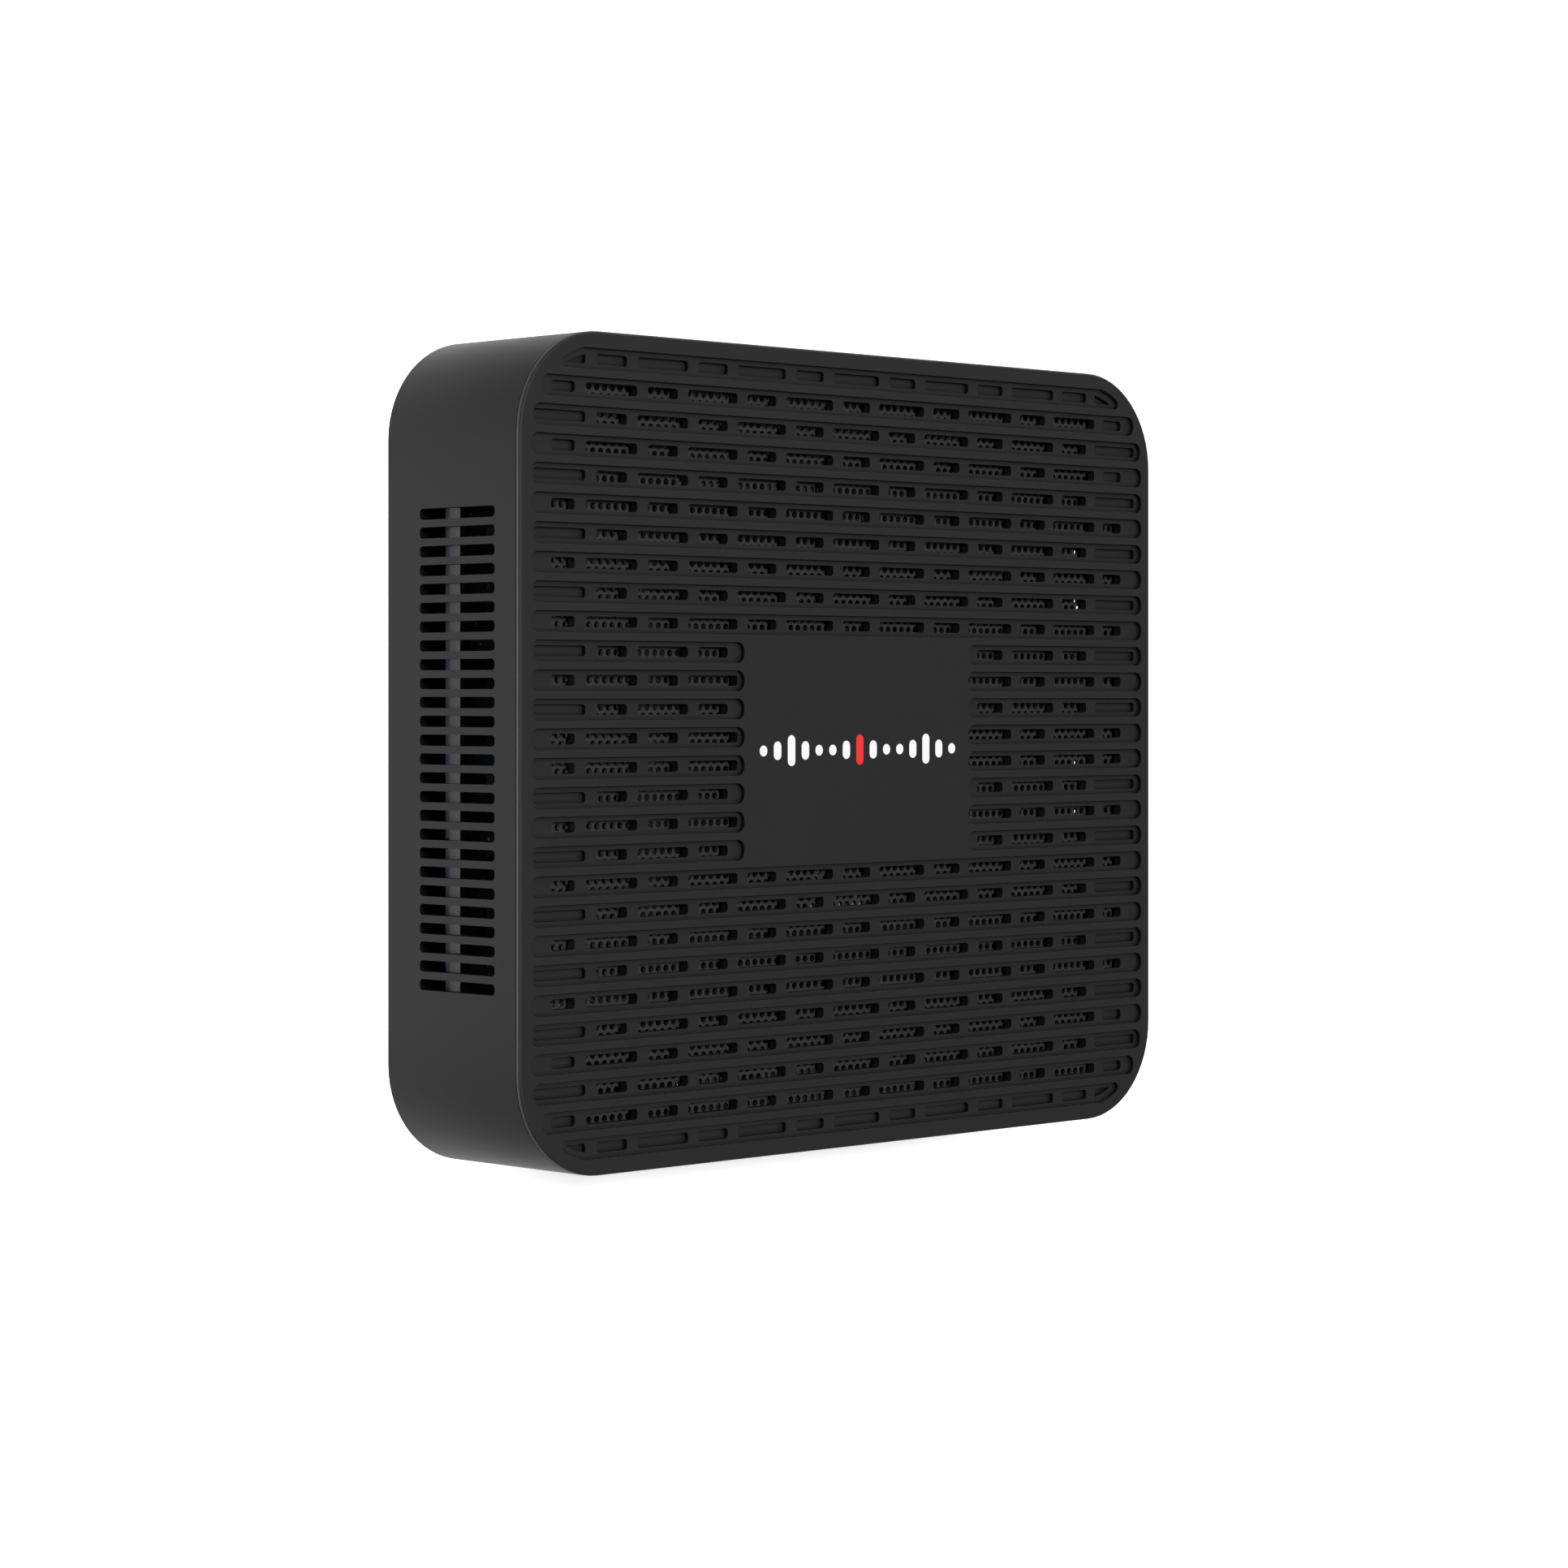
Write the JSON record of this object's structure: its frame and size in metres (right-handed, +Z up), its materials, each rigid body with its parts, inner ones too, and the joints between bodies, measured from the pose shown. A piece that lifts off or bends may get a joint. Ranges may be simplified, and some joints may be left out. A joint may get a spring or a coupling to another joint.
{
  "type": "small desktop computer",
  "caption": "Small flat desktop computer: slotted lid over a mesh sheet, vented sides, port plates front and rear, with board, heat sink and fan inside.",
  "frame": {"origin": "on the floor under the middle of the case", "axes": "+Z up through the slotted lid, +Y to the rear ports, +X to the right seen from the front"},
  "size_m": [0.1366, 0.12, 0.035],
  "materials": {
    "case_black": "fine moulded texture",
    "base_black": "fine moulded texture",
    "plate_black": "satin",
    "mesh_grey": "satin grey coating",
    "foot_rubber": "matt",
    "screw_black": "black zinc",
    "insert_brass": "turned",
    "board_blue": "solder mask",
    "board_green": "solder mask",
    "screw_steel": "zinc plated",
    "chip_dark": "moulded epoxy",
    "pad_grey": "soft filled silicone",
    "sink_aluminium": "extruded",
    "fan_black": "satin",
    "coil_copper": "enamelled copper wire",
    "lead_black": "soft sleeve",
    "socket_white": "nylon",
    "rail_grey": "satin grey",
    "coil_grey": "pressed ferrite",
    "can_aluminium": "drawn can",
    "socket_black": "moulded",
    "port_steel": "nickel plated",
    "port_nickel": "nickel plated",
    "cell_steel": "pressed steel",
    "aerial_black": "flexible film",
    "button_black": "satin",
    "pipe_clear": "clear moulding",
    "lamp_white": "lamp body"
  },
  "bodies": {
    "case": {"grille_cover": "case_black", "side_frame": "case_black", "bottom_cover": "base_black", "front_plate": "plate_black", "rear_plate": "plate_black", "mesh_sheet": "mesh_grey", "feet": "foot_rubber", "case_screws": "screw_black", "bracket_inserts": "insert_brass", "main_board": "board_blue", "board_screws": "screw_steel", "processor": "chip_dark", "thermal_pad": "pad_grey", "heat_sink": "sink_aluminium", "sink_posts": "insert_brass", "sink_screws": "screw_steel", "fan_frame": "fan_black", "fan_motor": "coil_copper", "fan_screws": "screw_steel", "fan_lead": "lead_black", "fan_header": "socket_white", "side_rail_left": "rail_grey", "side_rail_right": "rail_grey", "power_coils": "coil_grey", "air_guide": "base_black", "capacitors": "can_aluminium", "board_chips": "chip_dark", "memory_socket": "socket_black", "memory_arms": "port_steel", "memory_module": "board_green", "storage_socket": "socket_black", "storage_card": "board_green", "radio_socket": "socket_black", "radio_card": "board_green", "card_posts": "insert_brass", "card_screws": "screw_steel", "cell_holder": "socket_black", "coin_cell": "cell_steel", "aerial_front": "aerial_black", "aerial_rear": "aerial_black", "aerial_lead_front": "lead_black", "aerial_lead_rear": "lead_black", "power_switch": "socket_black", "reset_switch": "socket_black", "status_pipe": "pipe_clear", "status_lamp": "lamp_white", "dc_jack": "socket_black", "audio_jack": "socket_black", "oval_data_port": "port_steel", "data_port_front_left": "port_steel", "data_port_front_right": "port_steel", "data_port_rear": "port_steel", "video_port_left": "port_steel", "video_port_right": "port_steel", "lan_port_left": "port_nickel", "lan_port_right": "port_nickel"},
    "power_button": {"power_button": "button_black", "power_plunger": "button_black"},
    "reset_plunger": {"reset_plunger": "button_black"},
    "fan_rotor": {"fan_rotor": "fan_black"}
  },
  "joints": [
    {"name": "power_press", "type": "slide", "parent": "case", "child": "power_button", "axis": [0, 1, 0], "range_m": [0, 0.0005], "stiffness_N_per_m": 600},
    {"name": "reset_press", "type": "slide", "parent": "case", "child": "reset_plunger", "axis": [0, 1, 0], "range_m": [0, 0.00025], "stiffness_N_per_m": 500},
    {"name": "fan_spin", "type": "hinge", "parent": "case", "child": "fan_rotor", "pos_m": [0, 0, 0.024], "axis": [0, 0, 1], "continuous": true}
  ]
}
